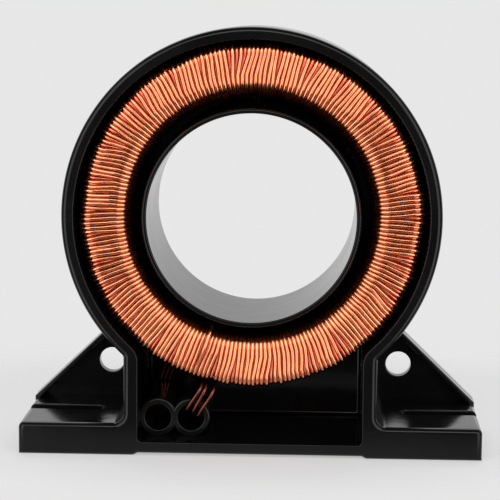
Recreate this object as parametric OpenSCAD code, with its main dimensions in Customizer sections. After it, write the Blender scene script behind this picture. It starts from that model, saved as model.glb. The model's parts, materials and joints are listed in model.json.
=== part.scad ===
// Window-type current transformer: an open moulded housing on two feet, a round window for the
// primary conductor, and a toroidal secondary winding on a tape-wound core.
// Millimetres. +Z is up, +Y runs along the window from the open front to the closed rear, and the
// origin is the centre of the window at half the housing's depth.

/* [Window] */
// Diameter of the window that the primary conductor passes through
window_d = 60; // [45:1:80]
// Wall of the tube around the window
tube_wall = 1.4; // [1:0.1:2.5]

/* [Core and winding] */
// Radial build of the tape-wound core
core_build = 8.3; // [3:0.1:14]
// Height of the core along the window's axis
core_h = 27.5; // [20:0.1:45]
// Thickness of the insulating ring on each end of the core
edge_ring_t = 0.8; // [0.5:0.1:2]
// Thickness of the tape wrapped over the core and its rings
tape_t = 0.4; // [0.2:0.1:1]
// Diameter of one enamelled wire
wire_d = 1.1; // [0.8:0.05:1.6]
// Layers of wire under the outer layer
inner_layers = 2; // [1:1:3]
// Free ring between the window's tube and the winding
winding_in_gap = 2.6; // [2:0.1:8]
// Free ring between the winding and the shell
winding_out_gap = 0.9; // [0.6:0.1:6]
// Depth of the winding's front face behind the rim
front_recess = 3.7; // [2:0.1:8]

/* [Housing] */
// Wall of the round shell
shell_wall = 3.6; // [2:0.1:4]
// Wall of the closed rear
rear_wall = 3; // [2:0.1:5]
// Height of the ribs that carry the winding off the rear wall
rib_h = 1.5; // [1:0.1:4]
// Width of each rib
rib_w = 2; // [1.5:0.1:4]
// Clear height between the winding and the floor, where the leads run
lead_space = 15.4; // [12.5:0.1:24]
// Thickness of the floor
floor_t = 3.4; // [2:0.1:4]
// Height of the floor's underside above the feet
floor_lift = 0.7; // [0.3:0.1:2]
// Outside width of the box under the shell
box_w = 73.2; // [58:0.1:86]
// Wall of the box's two sides
box_wall = 4.2; // [2.5:0.1:4.5]
// Radius on the rim's outer edge
rim_r = 0.9; // [0.4:0.1:1.2]
// Radius inside, where the round shell turns down into the box's sides
throat_r = 6; // [2:0.5:8]

/* [Feet] */
// Overall width over both feet
foot_span = 134.2; // [110:0.1:160]
// Height of each foot
foot_h = 9.4; // [6:0.1:12]
// Width of the open mounting slot in each foot
slot_w = 6.2; // [4:0.1:8]
// Solid land between the slot's round inner end and the box's side
slot_land = 7.4; // [5:0.1:12]
// Radius where the box's side runs into the foot
foot_fillet = 3; // [1:0.1:5]
// Radius on the foot's front corner
foot_corner_r = 0.9; // [0.4:0.1:2]

/* [Gussets] */
// Thickness of the web behind each foot
web_t = 4; // [3:0.1:6]
// Depth of the flange along the web's sloping edge
flange_depth = 9.5; // [6:0.1:14]
// Thickness of that flange
flange_t = 1.5; // [1:0.1:3]
// Angle of the sloping edge above the horizontal
flange_angle = 44; // [40:1:50]
// Height of the sloping edge's lower end above the feet
flange_toe_h = 9.8; // [9:0.1:14]
// Diameter of the fixing hole in each web
web_hole_d = 7.6; // [5:0.1:9]
// How much nearer the box the fixing hole lies than the middle of the web's triangle
web_hole_in = 1.5; // [0:0.1:2.5]
// How much higher it lies than that middle
web_hole_up = 2.1; // [0:0.1:2.5]

/* [Terminals] */
// Diameter of the hole through each terminal boss
boss_hole_d = 7.6; // [6:0.1:9]
// Wall of each boss
boss_wall = 2; // [1.2:0.1:2.5]
// Distance between the two boss centres
boss_pitch = 9.7; // [9.2:0.1:13]
// Distance from the box's inner side to the nearer boss hole
boss_edge = 1.3; // [0.8:0.1:3]
// Height of the boss centres above the floor
boss_lift = 5.2; // [4.2:0.1:6]
// Depth of the bosses' open ends behind the rim
boss_recess = 10; // [7:0.1:14]
// Length of the bush pressed into the rear of each boss
bush_len = 7; // [6:0.1:10]
// Thickness of the bush's flange
bush_flange_t = 1; // [0.6:0.1:2]
// Nominal diameter of the terminal screws
screw_d = 4; // [3:0.5:4]
// Diameter of the pan head
screw_head_d = 8; // [6:0.1:8.6]
// Height of the pan head
screw_head_h = 2.8; // [2:0.1:4]
// Side of the square clamp washer
washer_side = 8.4; // [7:0.1:9]
// Thickness of the clamp washer
washer_t = 1; // [0.6:0.1:2]

/* [Hidden] */
$fn = 64;

// Slack between one wrapped layer and the next
wrap_gap = 0.05;
// Free ring between a bush and its boss
bush_gap = 0.03;
// Free ring between a screw and its thread
thread_gap = 0.03;
// Free ring between a screw and its washer
washer_gap = 0.15;
// Free ring between the winding and the upstands around it
upstand_gap = 0.3;
// Reach of the upstands along the winding's rim
upstand_len = 4;
// Amount by which one moulded feature runs into the next
sink = 0.3;
// Amount by which a cut runs past the face it opens
past = 1;
// Amount by which the throat's round crosses the shell's inner face, so that the two meet in an edge
throat_bite = 0.02;

// Wrapped stack, from the core outwards: each wrap's inner face, measured from the core's
core_corner = 0.1;
core_stack_h = core_h + 2 * edge_ring_t;
layers_t = inner_layers * wire_d;
tape_in = wrap_gap;
tape_out = tape_in + tape_t + wrap_gap;
inner_out = tape_out + layers_t + wrap_gap;
stack_t = tape_t + layers_t + wire_d + 3 * wrap_gap;
winding_build = core_build + 2 * stack_t;
winding_h = core_h + 2 * edge_ring_t + 2 * stack_t;

// Radii about the window's axis
window_r = window_d / 2;
tube_r = window_r + tube_wall;
winding_r_in = tube_r + winding_in_gap;
winding_r_out = winding_r_in + winding_build;
core_r_in = winding_r_in + stack_t;
core_r_out = core_r_in + core_build;
shell_r_in = winding_r_out + winding_out_gap;
shell_r = shell_r_in + shell_wall;

// Stations along the window's axis
depth = front_recess + winding_h + rib_h + rear_wall;
front_y = -depth / 2;
rear_y = depth / 2;
rear_in_y = rear_y - rear_wall;
winding_front_y = front_y + front_recess;
winding_rear_y = winding_front_y + winding_h;
core_mid_y = (winding_front_y + winding_rear_y) / 2;
boss_front_y = front_y + boss_recess;
bush_front_y = rear_y - bush_len;

// Heights below the window's axis
floor_top_z = -(winding_r_out + lead_space);
floor_z = floor_top_z - floor_t;
base_z = floor_z - floor_lift;
foot_top_z = base_z + foot_h;

// The box under the shell
box_x = box_w / 2;
box_in_x = box_x - box_wall;
// The box's sides end inside the shell's wall, halfway between the inner and outer corners.
box_top_z = -(sqrt(pow(shell_r_in, 2) - pow(box_in_x, 2)) + sqrt(pow(shell_r, 2) - pow(box_x, 2))) / 2;

// Feet and gussets
foot_x = foot_span / 2;
slot_r = slot_w / 2;
slot_mid_x = box_x + slot_land + slot_r;
toe_z = base_z + flange_toe_h;
// The sloping edge runs from the foot's end up into the shell.
slope_x = foot_x - box_in_x;
slope_z = slope_x * tan(flange_angle);
// The web's triangle between the box's side, the foot's top and the sloping edge. Its middle is
// the centre of the circle that touches all three sides.
web_w = foot_x + (toe_z - foot_top_z) / tan(flange_angle) - box_x;
web_h = web_w * tan(flange_angle);
web_in_r = (web_w + web_h - sqrt(pow(web_w, 2) + pow(web_h, 2))) / 2;
hole_x = box_x + web_in_r - web_hole_in;
hole_z = foot_top_z + web_in_r + web_hole_up;

// Terminal bosses, the inboard one nearer the middle
boss_hole_r = boss_hole_d / 2;
boss_r = boss_hole_r + boss_wall;
boss_z = floor_top_z + boss_lift;
outboard_x = -(box_in_x - boss_edge - boss_hole_r);
inboard_x = outboard_x + boss_pitch;
// A notch in the outboard boss's top, just ahead of its bush, lets the starting end in.
lead_pitch = wire_d + 0.2;
notch_w = 2 * lead_pitch + wire_d + 0.9;
notch_len = 4.5;
notch_rear_y = bush_front_y - 0.5;
notch_front_y = notch_rear_y - notch_len;

// Bushes, washers and screws; the strands end in the cup in a bush's front end
wire_r = wire_d / 2;
bundle_r = 1.3 * wire_r;
cup_gap = 0.12;
cup_r = bundle_r + wire_r + cup_gap;
cup_depth = 2.4;
flange_gap = 0.6;
bush_flange_d = boss_pitch - flange_gap;
screw_r = screw_d / 2;
thread_r = screw_r + thread_gap;
thread_depth = 4;
screw_len = 5.5;
recess_w = 0.9;
recess_len = 4.4;
recess_depth = 1.6;

// Sides of each lead's tube, and its rings for each point of the route
wire_sides = 8;
steps_per_point = 3;

housing_colour = [0.06, 0.06, 0.07];
copper_colour = [0.72, 0.33, 0.14];
brass_colour = [0.80, 0.65, 0.32];
steel_colour = [0.70, 0.71, 0.73];

// Extrudes a shape drawn in X and Z from station y0 to station y1.
module along(y0, y1) {
    translate([0, y1, 0]) rotate([90, 0, 0]) linear_extrude(y1 - y0) children();
}

// Turns a section drawn as [radius, y] about the window's axis.
module turned() {
    rotate([90, 0, 0]) mirror([0, 0, 1]) rotate_extrude($fn = 128) children();
}

module both_sides() {
    children();
    mirror([1, 0, 0]) children();
}

// A wall's section: thickness t outwards, depth h, its outer front corner rounded.
module rimmed_section(t, h) {
    difference() {
        square([t, h]);
        translate([t, 0]) mirror([1, 0, 0]) difference() {
            translate([-past, -past]) square(rim_r + past);
            translate([rim_r, rim_r]) circle(rim_r);
        }
    }
}

module tube() {
    turned() translate([window_r, front_y]) difference() {
        square([tube_wall, depth - sink]);
        translate([tube_wall, 0]) mirror([1, 0, 0]) difference() {
            translate([-past, -past]) square(tube_wall / 2 + past);
            translate([tube_wall / 2, tube_wall / 2]) circle(tube_wall / 2);
        }
    }
}

// The round shell and its closed rear in one turned section, open where the box hangs below it.
module shell() {
    difference() {
        turned() {
            translate([shell_r_in, front_y]) rimmed_section(shell_wall, depth);
            translate([tube_r - sink, rear_in_y]) square([shell_r_in - tube_r + 2 * sink, rear_wall]);
        }
        along(front_y - past, rear_in_y) translate([-box_in_x, floor_top_z])
            square([2 * box_in_x, box_top_z - floor_top_z + box_wall]);
    }
}

module box_side() {
    translate([box_in_x, front_y, foot_top_z - sink])
        linear_extrude(box_top_z - foot_top_z + sink) rimmed_section(box_wall, depth);
}

// What is cut away to round the cavity's corner between the shell and the box's side.
module throat_cut() {
    x = box_in_x + throat_r;
    z = -sqrt(pow(shell_r_in + throat_r - throat_bite, 2) - pow(x, 2));
    near = shell_r_in / (shell_r_in + throat_r);
    along(front_y - past, rear_in_y) difference() {
        polygon([[box_in_x, z], [x, z], [x * near, z * near], [box_in_x - past, z * near],
                 [box_in_x - past, z]]);
        translate([x, z]) circle(throat_r);
    }
}

module floor_plate() {
    translate([-box_in_x - sink, front_y, floor_top_z]) rotate([0, 90, 0])
        linear_extrude(2 * (box_in_x + sink)) rimmed_section(floor_t, depth);
}

// The rear wall of the box, out to the middle of the walls around it.
module rear_plate() {
    along(rear_in_y, rear_y) translate([-box_x + box_wall / 2, floor_z + floor_t / 2])
        square([box_w - box_wall, box_top_z - floor_z]);
}

module ribs() {
    for (i = [0:5]) rotate([0, 60 * i + 30, 0]) {
        translate([tube_r - sink, winding_rear_y, -rib_w / 2])
            cube([winding_r_out + upstand_gap - tube_r + sink, rib_h + sink, rib_w]);
    }
}

// Short upstands on the ribs hold the winding's rim in place.
module upstands() {
    for (a = [-30, 30, 150, 210]) rotate([0, a, 0])
        translate([winding_r_out + upstand_gap, winding_rear_y - upstand_len, -rib_w / 2])
            cube([winding_out_gap - upstand_gap + sink, upstand_len + rib_h + sink, rib_w]);
}

module foot_plan() {
    difference() {
        translate([box_in_x, front_y]) square([foot_x - box_in_x, depth]);
        translate([foot_x, front_y]) mirror([1, 0, 0]) difference() {
            translate([-past, -past]) square(foot_corner_r + past);
            translate([foot_corner_r, foot_corner_r]) circle(foot_corner_r);
        }
        translate([slot_mid_x, 0]) circle(slot_r);
        translate([slot_mid_x, -slot_r]) square([foot_x + past - slot_mid_x, slot_w]);
    }
}

// The foot's inner end is bevelled up to the floor's underside.
module foot() {
    difference() {
        translate([0, 0, base_z]) linear_extrude(foot_h) foot_plan();
        along(front_y - past, rear_y + past)
            polygon([[box_in_x - past, base_z - past], [box_in_x + 2 * floor_lift, base_z - past],
                     [box_in_x + 2 * floor_lift, base_z], [box_in_x, floor_z], [box_in_x - past, floor_z]]);
    }
}

// The sweep of plastic where the box's side meets the top of the foot.
module foot_blend() {
    along(front_y + rim_r, rear_in_y + sink) translate([box_x - sink, foot_top_z - sink]) difference() {
        square(foot_fillet + sink);
        translate([foot_fillet + sink, foot_fillet + sink]) circle(foot_fillet);
    }
}

module web() {
    along(rear_y - web_t, rear_y) difference() {
        polygon([[box_in_x, foot_top_z - sink], [foot_x, foot_top_z - sink], [foot_x, toe_z],
                 [box_in_x, toe_z + slope_z]]);
        circle(shell_r - sink, $fn = 128);
        translate([hole_x, hole_z]) circle(web_hole_d / 2);
    }
}

module flange() {
    drop = flange_t / cos(flange_angle);
    difference() {
        along(rear_y - flange_depth, rear_y)
            polygon([[foot_x, toe_z], [foot_x, toe_z - drop], [box_in_x, toe_z - drop + slope_z],
                     [box_in_x, toe_z + slope_z]]);
        rotate([90, 0, 0]) cylinder(r = shell_r - sink, h = 2 * depth, center = true, $fn = 128);
    }
}

module boss(x) {
    translate([x, rear_in_y + sink, boss_z]) rotate([90, 0, 0])
        cylinder(r = boss_r, h = rear_in_y + sink - boss_front_y);
}

module boss_hole(x) {
    translate([x, rear_y + past, boss_z]) rotate([90, 0, 0]) cylinder(r = boss_hole_r, h = depth);
}

module housing() {
    color(housing_colour) difference() {
        union() {
            rear_plate();
            tube();
            shell();
            floor_plate();
            both_sides() {
                box_side();
                foot();
                foot_blend();
                web();
                flange();
            }
            ribs();
            upstands();
            boss(inboard_x);
            boss(outboard_x);
        }
        rotate([90, 0, 0]) cylinder(r = window_r, h = 2 * depth, center = true, $fn = 128);
        boss_hole(inboard_x);
        boss_hole(outboard_x);
        both_sides() throat_cut();
        translate([outboard_x - notch_w / 2, notch_front_y, boss_z])
            cube([notch_w, notch_rear_y - notch_front_y, boss_r + past]);
    }
}

// A ring of rectangular section, centred on the core's station.
module ring(r_in, r_out, h) {
    turned() translate([r_in, core_mid_y - h / 2]) square([r_out - r_in, h]);
}

// A closed hollow ring, t thick, around a space of the given size; its corners round to t and more.
module wrap(r_in, r_out, h, t, corner) {
    turned() translate([0, core_mid_y]) difference() {
        translate([r_in - t, -h / 2 - t]) rounded_section(r_out - r_in + 2 * t, h + 2 * t, corner + t);
        translate([r_in, -h / 2]) rounded_section(r_out - r_in, h, corner);
    }
}

module rounded_section(w, h, r) {
    translate([r, 0]) square([w - 2 * r, h]);
    translate([0, r]) square([w, h - 2 * r]);
    for (x = [r, w - r], y = [r, h - r]) translate([x, y]) circle(r, $fn = 32);
}

module core_ring() {
    color(steel_colour) ring(core_r_in, core_r_out, core_h);
}

module edge_ring(side) {
    color("ivory") turned() translate([core_r_in, core_mid_y + side * (core_h + edge_ring_t) / 2])
        translate([0, -edge_ring_t / 2]) square([core_build, edge_ring_t]);
}

module edge_ring_front() { edge_ring(-1); }
module edge_ring_rear() { edge_ring(1); }

module core_tape() {
    color("khaki") wrap(core_r_in - tape_in, core_r_out + tape_in, core_stack_h + 2 * tape_in,
                        tape_t, core_corner);
}

module winding_inner() {
    color(copper_colour) wrap(core_r_in - tape_out, core_r_out + tape_out, core_stack_h + 2 * tape_out,
                              layers_t, core_corner + tape_t);
}

module winding_outer() {
    color(copper_colour) wrap(core_r_in - inner_out, core_r_out + inner_out, core_stack_h + 2 * inner_out,
                              wire_d, core_corner + tape_t + layers_t);
}

// A point at t from 0 to 1 on the smooth curve between points i and i + 1 of the list p.
function pick(p, i) = p[max(0, min(len(p) - 1, i))];
function curve_point(p, i, t) =
    let (a = pick(p, i - 1), b = p[i], c = p[i + 1], d = pick(p, i + 2))
    0.5 * (2 * b + (c - a) * t + (2 * a - 5 * b + 4 * c - d) * t * t + (3 * b - a - 3 * c + d) * t * t * t);
function curve(p, n) =
    [for (i = [0:len(p) - 2], j = [0:n - 1]) curve_point(p, i, j / n), p[len(p) - 1]];
function unit(v) = v / norm(v);
function heading(p, k) = unit(pick(p, k + 1) - pick(p, k - 1));

// A round wire along the list p, whose route never runs along X.
module wire(p) {
    last = len(p) - 1;
    verts = [for (k = [0:last], a = [0:wire_sides - 1])
        let (t = heading(p, k), s = unit(cross([1, 0, 0], t)), u = cross(t, s), w = 360 * a / wire_sides)
        p[k] + wire_r * (cos(w) * s + sin(w) * u)];
    sides = [for (k = [0:last - 1], a = [0:wire_sides - 1])
        let (b = (a + 1) % wire_sides, lo = k * wire_sides, hi = lo + wire_sides)
        each [[lo + a, hi + a, hi + b], [lo + a, hi + b, lo + b]]];
    caps = [[for (a = [0:wire_sides - 1]) a], [for (a = [wire_sides - 1:-1:0]) last * wire_sides + a]];
    polyhedron(points = verts, faces = concat(sides, caps));
}

// Height of a wire's centre where it lies on the underside of the winding at x.
function on_winding(x) = -sqrt(pow(winding_r_out + wire_r + wrap_gap, 2) - pow(x, 2));
// Place of strand i in the round bundle of three, about the bundle's centre.
function in_bundle(i) = [bundle_r * cos(150 - 120 * i), 0, bundle_r * sin(150 - 120 * i)];

// The finishing end: three strands leave the winding's rim at the front, drop past the mouth of the
// inboard boss and turn back into it, down to the bush's cup.
finish_x = [for (k = [0, 1, 2.8]) inboard_x + 3.3 + k * lead_pitch];
finish_mouth = [[-1.3, 1.2], [0.6, 0.6], [2.0, -0.7]];

function finish_route(i) =
    let (x = finish_x[i], z = on_winding(x), mx = inboard_x + finish_mouth[i][0],
         mz = boss_z + finish_mouth[i][1], hold = [inboard_x, 0, boss_z] + in_bundle(i))
    [[x, winding_front_y + 12, z], [x, winding_front_y + 7.5, z], [x, winding_front_y + 4.6, z - 0.3],
     [x - 0.1, winding_front_y + 2.9, z - 1.6], [(3 * x + mx) / 4, winding_front_y + 2.2, (2 * z + mz) / 3],
     [(x + 3 * mx) / 4, boss_front_y - 3.6, (z + 2 * mz) / 3], [mx, boss_front_y - 2.6, mz + 1.3],
     [mx, boss_front_y - 0.6, mz + 0.1], [(mx + hold[0]) / 2, boss_front_y + 3, (mz + hold[2]) / 2],
     hold + [0, boss_front_y + 8, 0], hold + [0, bush_front_y - 8, 0],
     hold + [0, bush_front_y + cup_depth - 0.3, 0]];

// The starting end: three strands leave the rim near the rear and drop through the notch into the
// outboard boss, where they turn back into the bush's cup.
start_x = [for (k = [0:2]) outboard_x + 2.2 + k * lead_pitch];
start_notch = [for (k = [-1:1]) k * lead_pitch];

function start_route(i) =
    let (x = start_x[i], z = on_winding(x), nx = outboard_x + start_notch[i],
         hold = [outboard_x, 0, boss_z] + in_bundle(2 * i))
    [[x, bush_front_y - 15, z], [x, bush_front_y - 8.5, z], [x, bush_front_y - 5.6, z - 0.3],
     [x - 0.2, bush_front_y - 3.6, z - 2.2], [(x + nx) / 2, bush_front_y - 3.1, (z + boss_z + boss_r) / 2],
     [nx, bush_front_y - 3, boss_z + boss_r], [nx, bush_front_y - 2.9, boss_z + 2.6],
     [(nx + hold[0]) / 2, bush_front_y - 2, hold[2] + 0.5], hold + [0, bush_front_y - 0.3, 0],
     hold + [0, bush_front_y + cup_depth - 0.3, 0]];

module finish_lead(i) {
    color(copper_colour) wire(curve(finish_route(i), steps_per_point));
}

module start_lead(i) {
    color(copper_colour) wire(curve(start_route(i), steps_per_point));
}

// Places a turned terminal part on a boss, with +Z pointing forward from the rear face.
module at_boss(x) {
    translate([x, rear_y, boss_z]) rotate([90, 0, 0]) children();
}

module terminal_bush(x) {
    color(brass_colour) at_boss(x) difference() {
        union() {
            cylinder(r = boss_hole_r - bush_gap, h = bush_len);
            translate([0, 0, -bush_flange_t]) cylinder(d = bush_flange_d, h = bush_flange_t);
        }
        translate([0, 0, bush_len - cup_depth]) cylinder(r = cup_r, h = cup_depth + past, $fn = 32);
        translate([0, 0, -bush_flange_t - past])
            cylinder(r = thread_r, h = bush_flange_t + past + thread_depth, $fn = 32);
    }
}

module terminal_washer(x) {
    color(steel_colour) at_boss(x) translate([0, 0, -bush_flange_t - washer_t]) difference() {
        translate([-washer_side / 2, -washer_side / 2, 0]) cube([washer_side, washer_side, washer_t]);
        translate([0, 0, -past]) cylinder(r = screw_r + washer_gap, h = washer_t + 2 * past, $fn = 32);
    }
}

// A pan-head screw with a cross recess.
module terminal_screw(x) {
    color(steel_colour) at_boss(x) translate([0, 0, -bush_flange_t - washer_t]) difference() {
        union() {
            translate([0, 0, -screw_head_h]) cylinder(d = screw_head_d, h = screw_head_h);
            cylinder(r = screw_r, h = screw_len, $fn = 32);
        }
        for (a = [0, 90]) rotate([0, 0, a]) translate([-recess_len / 2, -recess_w / 2, -screw_head_h - past])
            cube([recess_len, recess_w, recess_depth + past]);
    }
}

module terminal_washers() {
    terminal_washer(inboard_x);
    terminal_washer(outboard_x);
}

module terminal_screws() {
    terminal_screw(inboard_x);
    terminal_screw(outboard_x);
}

housing();
core_ring();
edge_ring_front();
edge_ring_rear();
core_tape();
winding_inner();
winding_outer();
finish_lead(0);  // finish_lead_a
finish_lead(1);  // finish_lead_b
finish_lead(2);  // finish_lead_c
start_lead(0);  // start_lead_a
start_lead(1);  // start_lead_b
start_lead(2);  // start_lead_c
terminal_bush(inboard_x);  // terminal_bush_inboard
terminal_bush(outboard_x);  // terminal_bush_outboard
terminal_washers();
terminal_screws();
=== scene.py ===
"""The looks of a window-type current transformer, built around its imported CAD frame.

Shapes are worked out in millimetres and become metres when a mesh is made. Materials and lights are
in metres. +X is to the right seen from the open front, +Y runs along the window to the rear, and +Z
is up.
"""
import json
import math
import random

import bmesh
import bpy
import numpy as np
from mathutils import Matrix, Vector


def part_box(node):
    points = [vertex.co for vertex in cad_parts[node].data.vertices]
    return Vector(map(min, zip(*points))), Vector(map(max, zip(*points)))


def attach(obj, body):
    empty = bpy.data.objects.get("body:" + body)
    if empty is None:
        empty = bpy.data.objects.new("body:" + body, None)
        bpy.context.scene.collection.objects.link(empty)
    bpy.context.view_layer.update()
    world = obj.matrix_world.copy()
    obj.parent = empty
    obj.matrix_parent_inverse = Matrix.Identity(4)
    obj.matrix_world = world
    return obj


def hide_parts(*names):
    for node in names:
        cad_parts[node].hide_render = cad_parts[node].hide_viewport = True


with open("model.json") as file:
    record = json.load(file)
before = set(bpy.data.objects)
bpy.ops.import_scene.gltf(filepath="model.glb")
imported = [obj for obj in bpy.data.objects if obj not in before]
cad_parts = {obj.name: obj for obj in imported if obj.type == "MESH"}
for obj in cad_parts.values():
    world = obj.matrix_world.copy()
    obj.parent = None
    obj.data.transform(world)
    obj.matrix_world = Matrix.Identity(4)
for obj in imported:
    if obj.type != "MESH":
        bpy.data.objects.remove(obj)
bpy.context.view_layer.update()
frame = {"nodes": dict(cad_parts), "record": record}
MM = 0.001


def node_box(node):
    """Lowest and highest corner of a CAD node, in millimetres."""
    low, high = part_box(node)
    return low / MM, high / MM


# ---- sizes, in millimetres ----
HOUSING_LOW, HOUSING_HIGH = node_box("housing")
WINDING_LOW, WINDING_HIGH = node_box("winding_outer")
MOUNTS = {m["name"]: m for m in frame["record"]["mounts"]}

FRONT_Y, REAR_Y = HOUSING_LOW.y, HOUSING_HIGH.y
FOOT_X, BASE_Z, SHELL_R = HOUSING_HIGH.x, HOUSING_LOW.z, HOUSING_HIGH.z
WINDOW_R = MOUNTS["window"]["dims"]["r_mm"]
WINDING_FRONT, WINDING_REAR, WINDING_R = WINDING_LOW.y, WINDING_HIGH.y, WINDING_HIGH.z

SHELL_WALL = 3.6
REAR_WALL = 3.0
TUBE_WALL = 1.4         # the wall round the window
WIRE_D = 1.1
WINDING_IN_GAP = 2.6    # between the wall round the window and the winding
WINDING_OUT_GAP = 0.9   # between the winding and the shell
FLOOR_T = 3.4
FLOOR_LIFT = 0.7        # of the floor's underside above the feet's
BOX_X = 36.6            # half the width of the box that holds the leads
BOX_WALL = 4.2
FOOT_H = 9.4
SLOT_R = 3.1
SLOT_LAND = 7.4         # between the box and the round end of a foot's slot
WEB_T = 4.0
FLANGE_DEPTH = 9.5      # along Y, of the strip on a gusset's sloping edge
FLANGE_T = 1.5
FLANGE_SLOPE = math.tan(math.radians(44))
FLANGE_TOE_H = 9.8      # of the strip's lower end above the feet's underside
WEB_HOLE_R = MOUNTS["web_holes"]["dims"]["hole_r_mm"]
WEB_HOLE_X = MOUNTS["web_holes"]["dims"]["spacing_x_mm"] / 2
WEB_HOLE_Z = MOUNTS["web_holes"]["pos_m"][2] / MM
BOSS_HOLE_R = 3.8
BOSS_WALL = 2.0
BOSS_PITCH = 9.7
BOSS_EDGE = 1.3         # between the outboard boss's bore and the box's wall
BOSS_LIFT = 5.2         # of the bosses' axes above the floor
BOSS_RECESS = 10.0      # of the bosses' ends behind the open front
BUSH_LEN = 7.0
RIB_W = 2.0
RIB_COUNT = 6
UPSTAND_AT = (30, -30, -150, -210)      # degrees about the window's axis
UPSTAND_GAP = 0.3
UPSTAND_REACH = 4.0     # how far an upstand runs forward past the winding's rear face
NOTCH_W = 4.7
NOTCH_LEN = 4.5
NOTCH_LAND = 0.5        # between the notch in the outboard boss and the bush

REAR_IN_Y = REAR_Y - REAR_WALL
SHELL_IN_R = SHELL_R - SHELL_WALL
TUBE_R = WINDOW_R + TUBE_WALL
WINDING_IN_R = TUBE_R + WINDING_IN_GAP
FLOOR_Z = BASE_Z + FLOOR_LIFT
FLOOR_TOP_Z = FLOOR_Z + FLOOR_T
FOOT_TOP_Z = BASE_Z + FOOT_H
TOE_Z = BASE_Z + FLANGE_TOE_H
BOX_IN_X = BOX_X - BOX_WALL
SLOT_MID_X = BOX_X + SLOT_LAND + SLOT_R
BOSS_R = BOSS_HOLE_R + BOSS_WALL
BOSS_Z = FLOOR_TOP_Z + BOSS_LIFT
OUTBOARD_X = -(BOX_IN_X - BOSS_EDGE - BOSS_HOLE_R)
INBOARD_X = OUTBOARD_X + BOSS_PITCH
BOSS_FRONT_Y = FRONT_Y + BOSS_RECESS
BUSH_FRONT_Y = REAR_Y - BUSH_LEN

# Radii on the moulding's edges
RIM_R = 1.5
RIM_IN_R = 0.35
REAR_R = 0.5
EDGE_R = 0.35
BOSS_EDGE_R = 0.8
TUBE_EDGE_R = 0.42 * TUBE_WALL
RIB_EDGE_R = 0.3
BORE_EDGE_R = 0.45
SLOT_EDGE_R = 0.4
CAVITY_R = 1.0
FOOT_CORNER_R = 1.7
FOOT_FILLET = 3.0
SHOULDER_OUT_R = 1.2
THROAT_R = 6.0
FLOOR_CORNER_R = 1.2
DRAFT = math.tan(math.radians(1))

PAST = 2.0      # how far a cutter runs past the face that it opens
HAIR = 0.01     # what keeps two surfaces from lying exactly in each other
SINK = 1.0      # how far one moulded feature runs into the next
BURIED = 0.5    # how far a rib or an upstand runs into the round wall beside it

CROWN = 89.3    # degrees at which half an outline stops, short of its mirror image at the top
SHELL_STEPS = 184
SLAB_STEPS = 170
WINDOW_STEPS = 240


# ---- outlines and prisms ----
def arc(x, z, r, start, end, steps):
    """Points of an arc about (x, z), from start to end in degrees, both ends included."""
    angles = [math.radians(start + (end - start) * i / steps) for i in range(steps + 1)]
    return [(x + r * math.cos(a), z + r * math.sin(a)) for a in angles]


def ring(x, z, r, steps=64):
    """A full circle as an outline."""
    return arc(x, z, r, 0, 360, steps)[:-1]


def mirrored(right):
    """A closed outline from its right half, which is listed from the bottom to the top."""
    return right + [(-x, z) for x, z in reversed(right)]


def flipped(outline):
    """An outline's mirror image in the YZ plane."""
    return [(-x, z) for x, z in reversed(outline)]


def shoulder(circle_r, wall_x, fillet_r, steps):
    """From the box's wall at wall_x, round a fillet, up along the shell's circle to its crown."""
    x = wall_x + fillet_r
    z = -math.sqrt((circle_r + fillet_r) ** 2 - x ** 2)
    aim = math.degrees(math.atan2(-z, -x))
    start = math.degrees(math.atan2(z, x))
    return arc(x, z, fillet_r, 180, aim, steps) + arc(0, 0, circle_r, start, CROWN, SHELL_STEPS)[1:]


def inset(outline, by):
    """The outline with every side moved in by that much, or out where it is negative."""
    p = np.array(outline, float)
    side_in = p - np.roll(p, 1, axis=0)
    side_out = np.roll(p, -1, axis=0) - p
    n_in = np.stack([-side_in[:, 1], side_in[:, 0]], 1) / np.linalg.norm(side_in, axis=1)[:, None]
    n_out = np.stack([-side_out[:, 1], side_out[:, 0]], 1) / np.linalg.norm(side_out, axis=1)[:, None]
    miter = (n_in + n_out) / (1 + (n_in * n_out).sum(1))[:, None]
    return p + by * miter


def edge(r, steps=5):
    """A rounded edge as (distance from the end, inset) pairs; it flares where r is negative."""
    if not r:
        return [(0.0, 0.0)]
    angles = [math.pi / 2 * i / steps for i in range(steps + 1)]
    return [(abs(r) * (1 - math.cos(a)), r * (1 - math.sin(a))) for a in angles]


def stations(low, high, low_r=0.0, high_r=0.0):
    """Where a prism has its rings, and how far each is inset: its ends are rounded or flared."""
    return [(low + a, d) for a, d in edge(low_r)] + [(high - a, d) for a, d in reversed(edge(high_r))]


def cut_stations(low, high, flare):
    """A cutter's rings: it leaves a rounded edge of that radius at both faces, and runs past them."""
    return [(low - PAST, -flare)] + stations(low, high, -flare, -flare) + [(high + PAST, -flare)]


def upright(u, v, along):
    """A point of an outline drawn in X and Y, at a height."""
    return (u, v, along)


def lengthwise(u, v, along):
    """A point of an outline drawn in X and Z, at a station along Y."""
    return (u, along, v)


def mesh_object(name, verts, faces, smooth=True):
    """A mesh object from millimetre coordinates."""
    mesh = bpy.data.meshes.new(name)
    mesh.from_pydata((np.array(verts, float) * MM).tolist(), [], faces)
    mesh.update()
    if smooth:
        mesh.polygons.foreach_set("use_smooth", [True] * len(mesh.polygons))
    obj = bpy.data.objects.new(name, mesh)
    bpy.context.scene.collection.objects.link(obj)
    return obj


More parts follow.
